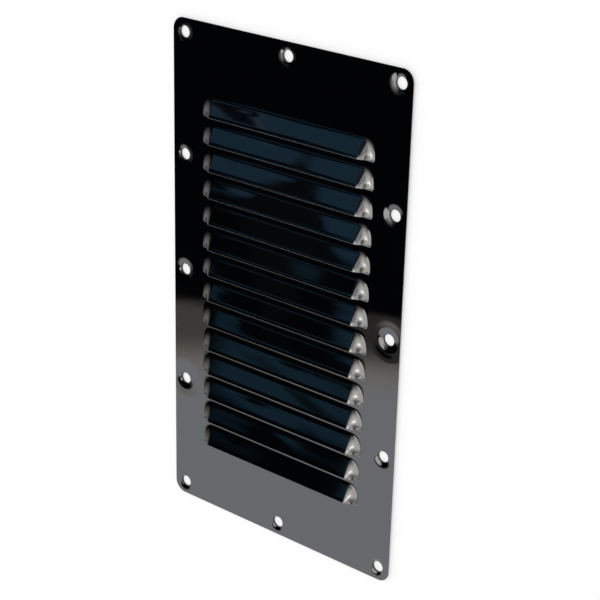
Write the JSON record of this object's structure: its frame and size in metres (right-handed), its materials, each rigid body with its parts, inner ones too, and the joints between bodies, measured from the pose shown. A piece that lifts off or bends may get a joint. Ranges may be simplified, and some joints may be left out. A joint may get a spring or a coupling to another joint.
{
  "type": "louvred vent panel",
  "caption": "Flat stamped sheet vent panel with a column of pressed louvres and dimpled screw holes round its edge.",
  "frame": {"origin": "middle of the panel in plan, on the plane that the backs of the screw dimples rest on", "axes": "+X across the panel's width, +Y to its top edge, +Z out of its front face"},
  "size_m": [0.127, 0.232, 0.0049],
  "materials": {
    "polished_steel": "mirror-polished stainless steel"
  },
  "bodies": {
    "root": {"louvred_panel": "polished_steel"}
  },
  "joints": []
}
